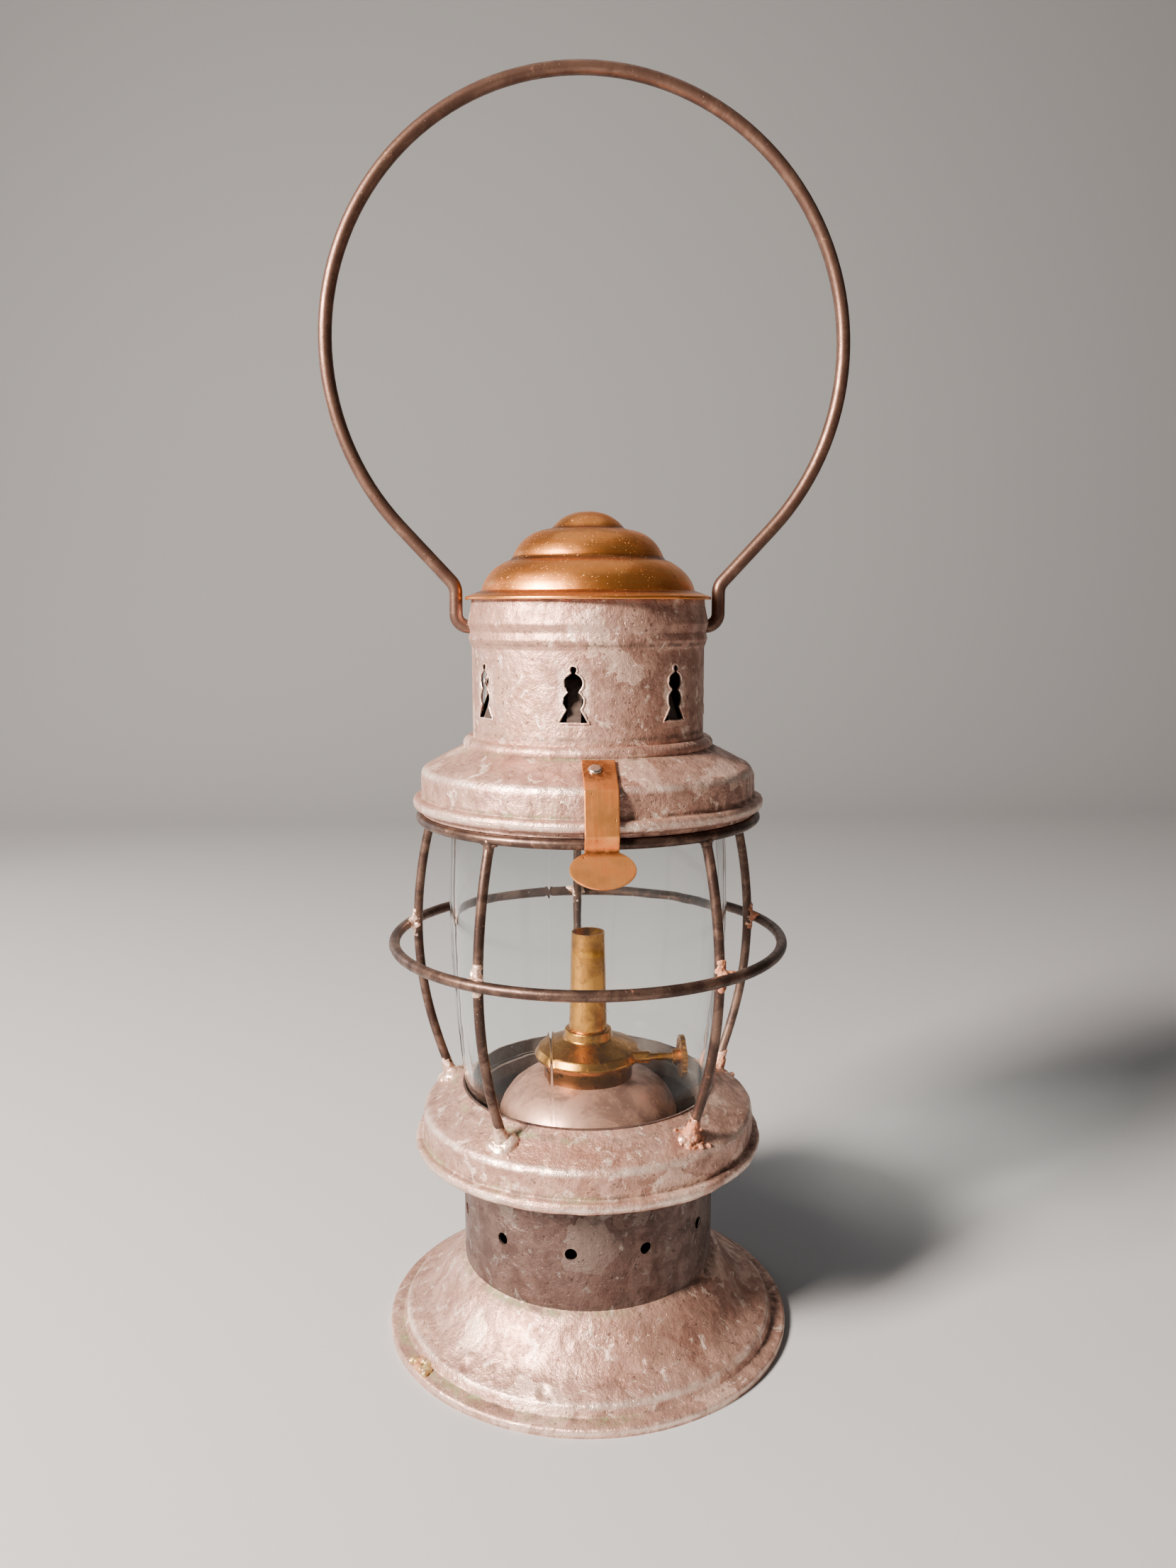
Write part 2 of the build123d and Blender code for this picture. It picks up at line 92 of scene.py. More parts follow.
def on_wall(angle, radius, height):
    return outward(angle) * radius + Vector((0, 0, height))


def angle_of(place):
    return math.degrees(math.atan2(place.x, -place.y))


def smooth_step(value, low, high):
    """0 below low, 1 above high, and a smooth change between; low may be the larger."""
    share = min(max((value - low) / (high - low), 0.0), 1.0)
    return share * share * (3 - 2 * share)


# --- Camera, lights and floor -----------------------------------------------------------------------

CAMERA_AZIMUTH = -4.0
CAMERA_DISTANCE = 397.6 * MM
CAMERA_HEIGHT = 248.7 * MM
CAMERA_PITCH = 8.38
CAMERA_LENS = 27.34


def add_camera():
    data = bpy.data.cameras.new("camera")
    data.lens = CAMERA_LENS
    data.clip_start = 0.01
    camera = bpy.data.objects.new("camera", data)
    camera.location = on_wall(CAMERA_AZIMUTH, CAMERA_DISTANCE, CAMERA_HEIGHT)
    camera.rotation_euler = (math.radians(90 - CAMERA_PITCH), 0, math.radians(CAMERA_AZIMUTH))
    bpy.context.scene.collection.objects.link(camera)
    bpy.context.scene.camera = camera


def add_light(name, place, size, power, colour):
    """A square lamp that faces the middle of the lantern."""
    middle = Vector((0, 0, 0.17))
    data = bpy.data.lights.new(name, "AREA")
    data.size = size
    data.energy = power
    data.color = colour
    light = bpy.data.objects.new(name, data)
    light.location = place
    light.rotation_euler = (middle - Vector(place)).to_track_quat("-Z", "Y").to_euler()
    bpy.context.scene.collection.objects.link(light)


def add_lights():
    add_light("key", (-0.94, -0.60, 0.78), 0.30, 110.0, (1.0, 0.87, 0.77))
    add_light("fill", (0.85, -0.30, 0.20), 0.50, 0.5, (1.0, 0.60, 0.42))
    add_light("top", (0.00, 0.15, 1.05), 0.70, 1.0, (0.98, 0.98, 1.0))
    add_light("rim", (-0.70, 0.55, 0.35), 0.45, 1.4, (0.94, 0.96, 1.0))
    world = bpy.data.worlds.new("world")
    world.use_nodes = True
    background = world.node_tree.nodes["Background"]
    background.inputs["Color"].default_value = (0.82, 0.82, 0.82, 1)
    background.inputs["Strength"].default_value = 0.10
    bpy.context.scene.world = world


def add_floor():
    """One grey sheet that runs back and curves up behind the lantern."""
    reach, back, rise, bend, steps = 3.0, 1.6, 2.8, 0.6, 14
    line = [(-3.0, 0.0)]
    for step in range(steps + 1):
        turn = math.radians(90 * step / steps)
        line.append((back - bend + bend * math.sin(turn), bend - bend * math.cos(turn)))
    line.append((back, rise))
    bm = bmesh.new()
    rows = [[bm.verts.new((x, y, z)) for x in (-reach, reach)] for y, z in line]
    for low, high in zip(rows, rows[1:]):
        bm.faces.new((low[0], low[1], high[1], high[0]))
    mesh = bpy.data.meshes.new("floor")
    bm.to_mesh(mesh)
    bm.free()
    mesh.shade_smooth()
    floor = bpy.data.objects.new("floor", mesh)
    bpy.context.scene.collection.objects.link(floor)
    paper = bpy.data.materials.new("pale_paper")
    paper.use_nodes = True
    shader = paper.node_tree.nodes["Principled BSDF"]
    shader.inputs["Base Color"].default_value = (0.32, 0.33, 0.34, 1)
    shader.inputs["Roughness"].default_value = 0.9
    mesh.materials.append(paper)


# --- Material building ------------------------------------------------------------------------------


class Surface:
    """One node-based material, built with short calls."""

    def __init__(self, name, metallic, roughness):
        self.material = bpy.data.materials.new(name)
        self.material.use_nodes = True
        self.tree = self.material.node_tree
        self.shader = self.tree.nodes["Principled BSDF"]
        self.set("Metallic", metallic)
        self.set("Roughness", roughness)
        self.place = self.add("ShaderNodeTexCoord").outputs["Object"]
        axes = self.add("ShaderNodeSeparateXYZ", {"Vector": self.place})
        self.x, self.y, self.z = axes.outputs["X"], axes.outputs["Y"], axes.outputs["Z"]

    def put(self, socket, value):
        if isinstance(value, bpy.types.NodeSocket):
            self.tree.links.new(value, socket)
        else:
            socket.default_value = value

    def set(self, name, value):
        self.put(self.shader.inputs[name], value)

    def add(self, kind, inputs=None, **settings):
        node = self.tree.nodes.new(kind)
        for key, value in settings.items():
            setattr(node, key, value)
        for key, value in (inputs or {}).items():
            self.put(node.inputs[key], value)
        return node

    def stretched(self, x, y, z):
        """The place, scaled unevenly."""
        return self.add("ShaderNodeMapping", {"Vector": self.place, "Scale": (x, y, z)}).outputs["Vector"]

    def noise(self, scale, detail=4.0, rough=0.55, warp=0.0, at=None):
        inputs = {"Vector": at or self.place, "Scale": scale, "Detail": detail}
        inputs |= {"Roughness": rough, "Distortion": warp}
        return self.add("ShaderNodeTexNoise", inputs).outputs["Fac"]

    def warped(self, scale, amount, at=None):
        """The place, pushed about by noise by up to about an amount."""
        at = at or self.place
        push = self.add("ShaderNodeTexNoise", {"Vector": at, "Scale": scale, "Detail": 3.0})
        centred = self.vector("SUBTRACT", push.outputs["Color"], (0.5, 0.5, 0.5))
        return self.vector("ADD", at, self.vector("MULTIPLY", centred, (amount, amount, amount)))

    def cells(self, scale, at):
        """A random value for each cell."""
        node = self.add("ShaderNodeTexVoronoi", {"Vector": at, "Scale": scale})
        return self.add("ShaderNodeSeparateColor", {"Color": node.outputs["Color"]}).outputs["Red"]

    def vector(self, operation, a, b):
        return self.add("ShaderNodeVectorMath", {0: a, 1: b}, operation=operation).outputs["Vector"]

    def math(self, operation, a, b=0.0, clamp=False):
        return self.add("ShaderNodeMath", {0: a, 1: b}, operation=operation, use_clamp=clamp).outputs[0]

    def times(self, a, b):
        return self.math("MULTIPLY", a, b)

    def plus(self, a, b):
        return self.math("ADD", a, b, clamp=True)

    def less(self, a, b):
        return self.math("SUBTRACT", a, b, clamp=True)

    def ramp(self, factor, low, high, start=0.0, end=1.0):
        """Start below low, end above high, and a smooth change between; low may be the larger."""
        if low > high:
            low, high, start, end = high, low, end, start
        inputs = {"Value": factor, "From Min": low, "From Max": high, "To Min": start, "To Max": end}
        return self.add("ShaderNodeMapRange", inputs, interpolation_type="SMOOTHSTEP").outputs["Result"]

    def mix(self, factor, a, b, blend="MIX"):
        node = self.add("ShaderNodeMix", data_type="RGBA", blend_type=blend)
        self.put(node.inputs[0], factor)
        self.put(node.inputs[6], a)
        self.put(node.inputs[7], b)
        return node.outputs[2]

    def radius(self):
        across = self.math("ADD", self.times(self.x, self.x), self.times(self.y, self.y))
        return self.math("SQRT", across)

    def band(self, height, half_width):
        """1 at a height, falling to 0 a half width above and below it."""
        away = self.math("ABSOLUTE", self.math("SUBTRACT", self.z, height))
        return self.ramp(away, half_width, 0.0)

    def bands(self, pairs):
        """The strongest of several bands, given as (height, half width) pairs in millimetres."""
        lines = [self.band(height * MM, half_width * MM) for height, half_width in pairs]
        return functools.reduce(lambda a, b: self.math("MAXIMUM", a, b), lines)

    def near(self, centre, size):
        """1 at a place, falling to 0 a size away from it."""
        gap = self.vector("SUBTRACT", self.place, tuple(centre))
        away = self.add("ShaderNodeVectorMath", {0: gap}, operation="LENGTH").outputs["Value"]
        return self.ramp(away, size, 0.3 * size)

    def bumps(self, *layers):
        """Bump layers as (height, distance in millimetres) pairs."""
        normal = None
        for height, distance in layers:
            inputs = {"Height": height, "Distance": distance * MM, "Strength": 1.0}
            node = self.add("ShaderNodeBump", inputs)
            if normal:
                self.put(node.inputs["Normal"], normal)
            normal = node.outputs["Normal"]
        self.set("Normal", normal)


def srgb(red, green, blue):
    """A colour given as 0 to 255 screen values, as linear values."""
    linear = []
    for value in (red, green, blue):
        share = value / 255
        linear.append(share / 12.92 if share <= 0.04045 else ((share + 0.055) / 1.055) ** 2.4)
    return (*linear, 1.0)


# --- Materials --------------------------------------------------------------------------------------


def zinc_skin(s):
    """Colour, roughness and metal of weathered zinc: soft mottling, faint spangle, flecks and specks."""
    rough_place = s.warped(330.0, 4.0 * MM)
    spangle = s.cells(75.0, s.warped(55.0, 14.0 * MM, rough_place))
    flakes = s.cells(260.0, s.warped(160.0, 5.0 * MM, rough_place))
    cloud = s.noise(24.0, 5.0, 0.62, 0.4)
    mottle = s.noise(150.0, 6.0, 0.68, 0.6)
    blotch = s.ramp(s.noise(70.0, 7.0, 0.72, 0.4), 0.52, 0.64, 0.0, 0.55)
    pale = s.ramp(s.noise(185.0, 6.0, 0.72, 0.5), 0.57, 0.63, 0.0, 0.85)
    specks = s.ramp(s.noise(760.0, 3.0, 0.6), 0.62, 0.68, 0.0, 0.7)
    colour = s.mix(s.ramp(mottle, 0.36, 0.66), srgb(148, 112, 99), srgb(208, 166, 148))
    for amount, tint in (
        (s.ramp(spangle, 0.1, 0.9, 0.0, 0.30), srgb(190, 152, 136)),
        (s.ramp(flakes, 0.5, 1.0, 0.0, 0.22), srgb(134, 104, 96)),
        (s.ramp(spangle, 0.87, 0.89, 0.0, 0.5), srgb(238, 206, 186)),
        (s.ramp(cloud, 0.46, 0.70, 0.0, 0.35), srgb(160, 104, 80)),
        (blotch, srgb(112, 80, 68)),
        (pale, srgb(230, 206, 188)),
        (specks, srgb(76, 58, 52)),
    ):
        colour = s.mix(amount, colour, tint)
    rough = s.plus(s.ramp(mottle, 0.35, 0.7, 0.52, 0.34), s.times(blotch, 0.22))
    return colour, rough, s.ramp(blotch, 0.0, 0.6, 0.72, 0.40)


def rubbed_and_highlit(s, look, wear_and_highlight):
    """Bare bright metal along bands, and painted highlights along the lips and ridges."""
    colour, rough, metallic = look
    # Wear with painted highlight: pale cream, glossy bands on the lips and ridges.
    bare_and_highlit = s.times(s.bands(wear_and_highlight), s.ramp(s.noise(80.0, 6.0, 0.72), 0.38, 0.58, 0.15, 0.85))
    return s.mix(bare_and_highlit, colour, srgb(236, 212, 196)), s.mix(bare_and_highlit, rough, (0.25, 0.25, 0.25, 1)), metallic


def grimy_and_shaded(s, look, dirt_and_shade, moss):
    """Brown grime along bands, with broken green in it on the lantern's left. On the collar a wide band is
    painted shade under the lower drum's lip.
    """
    colour, rough, metallic = look
    line = s.bands(dirt_and_shade)
    # Grime; on the collar, the wide band is painted shade instead.
    grime = s.times(line, s.ramp(s.noise(260.0, 6.0, 0.72), 0.38, 0.60, 0.1, 0.9))
    colour = s.mix(grime, colour, srgb(84, 64, 54))
    patches = s.ramp(s.noise(60.0, 5.0, 0.65), 0.44, 0.58, 0.0, moss)
    on_left = s.times(patches, s.ramp(s.x, 30 * MM, -10 * MM))
    green = s.times(on_left, s.ramp(s.noise(520.0, 5.0, 0.7), 0.40, 0.60, 0.15, 0.75))
    colour = s.mix(s.times(line, green), colour, srgb(134, 142, 96))
    return colour, s.plus(rough, s.times(grime, 0.25)), s.less(metallic, s.times(grime, 0.5))


def torn(s, look):
    """Pale torn metal round the vent slots."""
    colour, rough, metallic = look
    edge = s.times(slot_nearness(s), s.ramp(s.noise(420.0, 5.0, 0.7), 0.40, 0.60, 0.1, 0.9))
    return s.mix(edge, colour, srgb(236, 214, 198)), s.plus(rough, s.times(edge, 0.1)), metallic


def sooty_and_shaded(s, look, inside):
    """Soot and painted shade on what lies nearer the axis than a radius."""
    colour, rough, metallic = look
    # Soot with painted shade: near-black brown inside the collar and vent, and on the pieces within.
    soot_and_shade = s.ramp(s.radius(), inside, inside - 0.2 * MM)
    colour = s.mix(s.times(soot_and_shade, 0.96), colour, srgb(38, 28, 23))
    return colour, s.plus(rough, s.times(soot_and_shade, 0.5)), s.less(metallic, s.times(soot_and_shade, 0.7))


def galvanised(name, dirt_and_shade=(), wear_and_highlight=(), shade_tone=None, moss=0.0, soot_and_shade_inside=None, slots=False):
    """Weathered zinc with pits, wrinkles and scratches.

    dirt_and_shade (grime, and painted shade) and wear_and_highlight (rubbed metal, and painted highlight)
    are (height, half width) bands in millimetres. shade_tone multiplies the colour, as painted shade. moss
    is how strong the green in the dirt is.
    soot_and_shade_inside is a radius in metres, inside which soot and painted shade darken the zinc. slots
    is for the vent's wall.
    """
    s = Surface(name, 0.6, 0.45)
    look = zinc_skin(s)
    if wear_and_highlight:
        look = rubbed_and_highlit(s, look, wear_and_highlight)
    if dirt_and_shade:
        look = grimy_and_shaded(s, look, dirt_and_shade, moss)
    if slots:
        look = torn(s, look)
    # Painted shade: the whole colour is darkened by the tone, which only the collar has.
    if shade_tone:
        look = (s.mix(1.0, look[0], (*shade_tone, 1), "MULTIPLY"), look[1], look[2])
    if soot_and_shade_inside:
        look = sooty_and_shaded(s, look, soot_and_shade_inside)
    for socket, value in zip(("Base Color", "Roughness", "Metallic"), look):
        s.set(socket, value)
    pits = s.ramp(s.noise(560.0, 3.0, 0.6), 0.64, 0.74)
    scratches = s.ramp(s.noise(1.0, 4.0, 0.7, 1.5, s.stretched(90.0, 90.0, 900.0)), 0.60, 0.72)
    s.bumps(
        (s.noise(110.0, 6.0, 0.65), 1.0),
        (s.noise(300.0, 5.0, 0.7), 0.35),
        (s.noise(900.0, 4.0, 0.65), 0.06),
        (s.math("SUBTRACT", 1.0, pits), 0.12),
        (scratches, 0.05),
    )
    return s.material


def slot_nearness(s):
    """1 at the vent slots' upright middle lines, falling to 0 beside them, above them and below them."""
    turn = s.math("ARCTAN2", s.x, s.times(s.y, -1.0))
    pitch = 2 * math.pi / SLOT_COUNT
    shifted = s.math("ADD", turn, math.pi * 4 - math.radians(SLOT_OFFSET) + pitch / 2)
    off_middle = s.math("SUBTRACT", s.math("MODULO", shifted, pitch), pitch / 2)
    across = s.times(s.math("ABSOLUTE", off_middle), VENT_RADIUS)
    return s.times(s.ramp(across, 5.6 * MM, 4.0 * MM), s.band(SLOT_MIDDLE, 10.5 * MM))


def crown_brass(name):
    """Spun brass gone amber, with fine turned lines, brown in its creases and pale dust."""
    s = Surface(name, 1.0, 0.3)
    lines = s.noise(1.0, 3.0, 0.6, at=s.stretched(18.0, 18.0, 900.0))
    cloud = s.noise(34.0, 5.0, 0.6, 0.5)
    colour = s.mix(s.ramp(cloud, 0.35, 0.68), srgb(250, 160, 82), srgb(214, 120, 54))
    colour = s.mix(s.ramp(lines, 0.35, 0.75, 0.0, 0.35), colour, srgb(238, 176, 100))
    for height, half_width in CROWN_CREASES:
        crease = s.times(s.band(height * MM, half_width * MM), s.ramp(cloud, 0.2, 0.6, 0.45, 0.95))
        colour = s.mix(crease, colour, srgb(110, 62, 34))
    blotch = s.ramp(s.noise(150.0, 6.0, 0.7), 0.55, 0.68, 0.0, 0.55)
    colour = s.mix(blotch, colour, srgb(134, 78, 42))
    dust = s.ramp(s.noise(1500.0, 2.0, 0.5), 0.66, 0.74, 0.0, 0.45)
    colour = s.mix(dust, colour, srgb(214, 176, 130))
    s.set("Base Color", colour)
    rough = s.plus(s.ramp(cloud, 0.3, 0.7, 0.28, 0.40), s.times(dust, 0.4))
    s.set("Roughness", s.plus(rough, s.times(blotch, 0.15)))
    s.set("Metallic", s.less(1.0, dust))
    s.bumps((lines, 0.02), (s.noise(70.0, 3.0), 0.12), (s.noise(600.0, 3.0), 0.03), (dust, 0.05))
    return s.material


def strip_brass(name):
    """Satin brass strip with marks along its length, pits, brown residue at the rivet, and painted shadow
    at the kink under the hoop.
    """
    s = Surface(name, 0.92, 0.36)
    drawn = s.noise(1.0, 4.0, 0.6, at=s.stretched(2600.0, 60.0, 60.0))
    cloud = s.noise(120.0, 4.0, 0.6)
    colour = s.mix(s.ramp(cloud, 0.4, 0.65), srgb(240, 158, 88), srgb(204, 122, 62))
    colour = s.mix(s.ramp(drawn, 0.5, 0.8, 0.0, 0.4), colour, srgb(238, 190, 120))
    ragged = s.ramp(s.noise(480.0, 5.0, 0.7), 0.34, 0.56, 0.45, 0.95)
    rivet_low, rivet_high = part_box("latch_rivet")
    at_rivet = s.near((rivet_low + rivet_high) / 2, 9.0 * MM)
    colour = s.mix(s.times(at_rivet, ragged), colour, srgb(112, 68, 40))
    # Painted shadow where the strip steps in under the hoop.
    kink_shadow = s.band(LATCH_KINK[1], 1.6 * MM)
    colour = s.mix(s.times(kink_shadow, ragged), colour, srgb(120, 70, 34))
    pits = s.ramp(s.noise(900.0, 2.0, 0.5), 0.68, 0.74, 0.0, 0.6)
    colour = s.mix(pits, colour, srgb(96, 58, 34))
    s.set("Base Color", colour)
    s.set("Roughness", s.ramp(cloud, 0.35, 0.7, 0.30, 0.46))
    s.bumps((drawn, 0.015), (s.math("SUBTRACT", 1.0, pits), 0.05), (s.noise(90.0), 0.12))
    return s.material


def burner_brass(name, dark_height):
    """Bright golden brass that darkens towards the foot of the burner."""
    s = Surface(name, 1.0, 0.25)
    cloud = s.noise(110.0, 5.0, 0.65, 0.4)
    lines = s.noise(1.0, 3.0, 0.6, at=s.stretched(25.0, 25.0, 1100.0))
    colour = s.mix(s.ramp(cloud, 0.38, 0.66), srgb(206, 146, 64), srgb(136, 92, 42))
    # Darker towards the foot of the burner.
    foot_darkening = s.ramp(s.z, dark_height + 2 * MM, dark_height - 3 * MM, 0.0, 0.8)
    colour = s.mix(foot_darkening, colour, srgb(92, 62, 38))
    stain = s.ramp(s.noise(300.0, 6.0, 0.7), 0.56, 0.68, 0.0, 0.6)
    colour = s.mix(stain, colour, srgb(104, 66, 36))
    s.set("Base Color", colour)
    s.set("Roughness", s.ramp(cloud, 0.3, 0.7, 0.20, 0.38))
    s.bumps((lines, 0.015), (s.noise(420.0, 3.0), 0.03))
    return s.material


def oxidised_wire(name, deep, worn, rust_share):
    """Brown iron wire: dark scale with lighter worn patches, rust spots and a drawn grain."""
    s = Surface(name, 0.62, 0.42)
    cloud = s.noise(95.0, 6.0, 0.7, 0.6)
    colour = s.mix(s.ramp(cloud, 0.42, 0.66), deep, worn)
    rust = s.ramp(s.noise(340.0, 6.0, 0.75), 0.60, 0.70, 0.0, rust_share)
    colour = s.mix(rust, colour, srgb(122, 76, 54))
    specks = s.ramp(s.noise(1500.0, 2.0), 0.68, 0.74, 0.0, 0.6)
    colour = s.mix(specks, colour, srgb(176, 150, 132))
    s.set("Base Color", colour)
    s.set("Roughness", s.plus(s.ramp(cloud, 0.35, 0.7, 0.44, 0.30), s.times(rust, 0.35)))
    s.set("Metallic", s.ramp(rust, 0.0, 0.8, 0.8, 0.15))
    s.bumps((cloud, 0.10), (s.noise(700.0, 4.0, 0.7), 0.06), (rust, 0.05))
    return s.material


def solder_metal(name, rust_from, pale):
    """Lead solder: a pale metal, with brown flux and rust that begin at a noise level."""
    s = Surface(name, 0.75, 0.35)
    cloud = s.noise(260.0, 6.0, 0.7, 0.5)
    colour = s.mix(s.ramp(cloud, 0.46, 0.62), pale, srgb(166, 132, 112))
    rust = s.ramp(s.noise(190.0, 5.0, 0.7), rust_from, rust_from + 0.1, 0.0, 0.85)
    colour = s.mix(rust, colour, srgb(152, 88, 54))
    s.set("Base Color", colour)
    s.set("Roughness", s.ramp(rust, 0.0, 0.8, 0.28, 0.7))
    s.set("Metallic", s.ramp(rust, 0.0, 0.8, 0.6, 0.1))
    s.bumps((cloud, 0.22), (s.noise(1200.0, 4.0), 0.05))
    return s.material


def oily_tin(name):
    """Dark tinned sheet under a film of old oil and dust."""
    s = Surface(name, 0.7, 0.35)
    cloud = s.noise(80.0, 6.0, 0.7, 0.4)
    colour = s.mix(s.ramp(cloud, 0.4, 0.65), srgb(170, 130, 112), srgb(112, 82, 70))
    dust = s.ramp(s.noise(700.0, 4.0, 0.7), 0.58, 0.68, 0.0, 0.5)
    colour = s.mix(dust, colour, srgb(180, 152, 132))
    s.set("Base Color", colour)
    s.set("Roughness", s.ramp(cloud, 0.3, 0.7, 0.30, 0.5))
    s.bumps((cloud, 0.12), (s.noise(520.0), 0.04))
    return s.material


def rivet_steel(name):
    """Bright rivet head with dark grime in its marks."""
    s = Surface(name, 1.0, 0.22)
    cloud = s.noise(700.0, 5.0, 0.7)
    colour = s.mix(s.ramp(cloud, 0.50, 0.64), srgb(222, 208, 196), srgb(120, 92, 74))
    s.set("Base Color", colour)
    s.set("Roughness", s.ramp(cloud, 0.4, 0.7, 0.18, 0.5))
    s.bumps((cloud, 0.06))
    return s.material


def clear_glass(name):
    """Old clear glass with a faint ripple and a few flecks. Lamps shine through it without a shadow."""
    s = Surface(name, 0.0, 0.02)
    flecks = s.ramp(s.noise(700.0, 2.0), 0.72, 0.76, 0.0, 0.7)
    s.set("Base Color", s.mix(flecks, (0.96, 0.98, 0.98, 1), (0.72, 0.70, 0.66, 1)))
    s.set("Transmission Weight", 1.0)
    s.set("IOR", 1.2)
    s.bumps((s.noise(40.0, 2.0, 0.4), 0.07), (flecks, 0.02))
    clear = s.add("ShaderNodeBsdfTransparent", {"Color": (0.93, 0.95, 0.95, 1)})
    is_shadow = s.add("ShaderNodeLightPath").outputs["Is Shadow Ray"]
    inputs = {0: is_shadow, 1: s.shader.outputs[0], 2: clear.outputs[0]}
    either = s.add("ShaderNodeMixShader", inputs)
    s.put(s.tree.nodes["Material Output"].inputs["Surface"], either.outputs[0])
    return s.material


def cotton(name):
    """Round woven wick: pale cotton with a cross weave and a scorched top."""
    s = Surface(name, 0.0, 0.9)
    inputs = {"Vector": s.stretched(1.0, 1.0, 1.6), "Scale": 420.0, "Distortion": 2.0}
    weave = s.add("ShaderNodeTexWave", inputs).outputs["Fac"]
    scorch = s.ramp(s.z, top_of("wick") - 5 * MM, top_of("wick"), 0.0, 0.85)
    colour = s.mix(weave, srgb(206, 196, 176), srgb(168, 156, 134))
    s.set("Base Color", s.mix(scorch, colour, srgb(40, 34, 30)))
    s.bumps((weave, 0.15), (s.noise(1500.0), 0.08))
    return s.material


# --- Mesh building ----------------------------------------------------------------------------------


def add_piece(name, bm, material, body):
    """Add a smooth-shaded piece, which rides on a body where one is named."""
    bmesh.ops.recalc_face_normals(bm, faces=bm.faces)
    mesh = bpy.data.meshes.new(name)
    bm.to_mesh(mesh)
    bm.free()
    piece = bpy.data.objects.new(name, mesh)
    bpy.context.scene.collection.objects.link(piece)
    mesh.materials.append(material)
    mesh.shade_smooth()
    mesh.set_sharp_from_angle(angle=math.radians(50))
    if body:
        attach(piece, body)
    return piece


def section_of(node):
    """The closed (radius, height) outline of a spun CAD node, cut through its axis."""
    cut_angle = 98.0
    bm = bmesh.new()
    bm.from_mesh(NODES[node].data)
    geometry = bm.verts[:] + bm.edges[:] + bm.faces[:]
    across = outward(cut_angle).cross(Vector((0, 0, 1)))
    cut = bmesh.ops.bisect_plane(bm, geom=geometry, plane_co=(0, 0, 0), plane_no=across, dist=1e-9)
    near = {}
    for edge in cut["geom_cut"]:
        if isinstance(edge, bmesh.types.BMEdge):
            a, b = [(round(v.co.dot(outward(cut_angle)), 7), round(v.co.z, 7)) for v in edge.verts]
            if a != b and a[0] >= 0 and b[0] >= 0:
                near.setdefault(a, []).append(b)
                near.setdefault(b, []).append(a)
    bm.free()
    start = max(near)
    outline, seen = [start], {start}
    while True:
        ahead = [point for point in near[outline[-1]] if point not in seen]
        if not ahead:
            return outline
        outline.append(ahead[0])
        seen.add(ahead[0])


def divided(outline, step):
    """The outline with its long runs divided, so that no run is much over the step."""
    points = []
    for a, b in zip(outline, outline[1:] + outline[:1]):
        count = max(1, round(math.dist(a, b) / step))
        for k in range(count):
            points.append((a[0] + (b[0] - a[0]) * k / count, a[1] + (b[1] - a[1]) * k / count))
    return points


def spun(name, node, material, body, dent, step=1.2 * MM, angles=None):
    """A fine spun piece from a CAD node's own outline, made uneven by dent(place): how far out and up."""
    outline = divided(section_of(node), step)
    angles = angles or even_angles(288)
    bm = bmesh.new()
    rings = []
    for angle in angles:
        ring = []
        for radius, height in outline:
            push, lift = dent(on_wall(angle, radius, height))
            ring.append(bm.verts.new(on_wall(angle, max(radius + push, 0.0), height + lift)))
        rings.append(ring)
    join_rings(bm, rings, closed=True)
    bmesh.ops.remove_doubles(bm, verts=bm.verts, dist=1e-7)
    piece = add_piece(name, bm, material, body)
    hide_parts(node)
    return piece


def join_rings(bm, rings, closed):
    """Faces between each ring and the next, and from the last to the first where the shape is closed."""
    following_rings = rings[1:] + rings[:1] if closed else rings[1:]
    for ring, following in zip(rings, following_rings):
        for k in range(len(ring)):
            n = (k + 1) % len(ring)
            bm.faces.new((ring[k], ring[n], following[n], following[k]))


def even_angles(count):
    return [360 * k / count for k in range(count)]


def lumps(place, size, seed):
    """Soft noise between about -1 and 1, with features of a size."""
    return noise.fractal(place / size + Vector((seed, 2 * seed, 0)), 0.7, 2.1, 3)


def melted(name, balls, material, body, grain=0.35 * MM, voxel=0.28 * MM):
    """One lump from (centre, radius) balls that run together, with a rough skin."""
    bm = bmesh.new()
    for centre, radius in balls:
        place = Matrix.Translation(centre) @ Matrix.Scale(radius, 4)
        bmesh.ops.create_icosphere(bm, subdivisions=2, radius=1.0, matrix=place)
    rough = bpy.data.meshes.new(name)
    bm.to_mesh(rough)
    bm.free()
    source = bpy.data.objects.new(name + "_source", rough)
    bpy.context.scene.collection.objects.link(source)
    remesh = source.modifiers.new("melt", "REMESH")
    remesh.mode = "VOXEL"
    remesh.voxel_size = voxel
    relax = source.modifiers.new("relax", "SMOOTH")
    relax.iterations = 6
    evaluated = source.evaluated_get(bpy.context.evaluated_depsgraph_get())
    bm = bmesh.new()
    bm.from_mesh(evaluated.to_mesh())
    evaluated.to_mesh_clear()
    bpy.data.objects.remove(source)
    bpy.data.meshes.remove(rough)
    bm.normal_update()
    moves = [v.normal * lumps(v.co, 2.2 * MM, 3.0) * grain for v in bm.verts]
    for vert, move in zip(bm.verts, moves):
        vert.co += move
    return add_piece(name, bm, material, body)


def chain(start, end, first, last, count):
    """Balls along a line, with their radii running from first to last."""
    balls = []
    for k in range(count):
        share = k / max(count - 1, 1)
        balls.append((start.lerp(end, share), first + (last - first) * share))
    return balls


# --- Sheet metal ------------------------------------------------------------------------------------

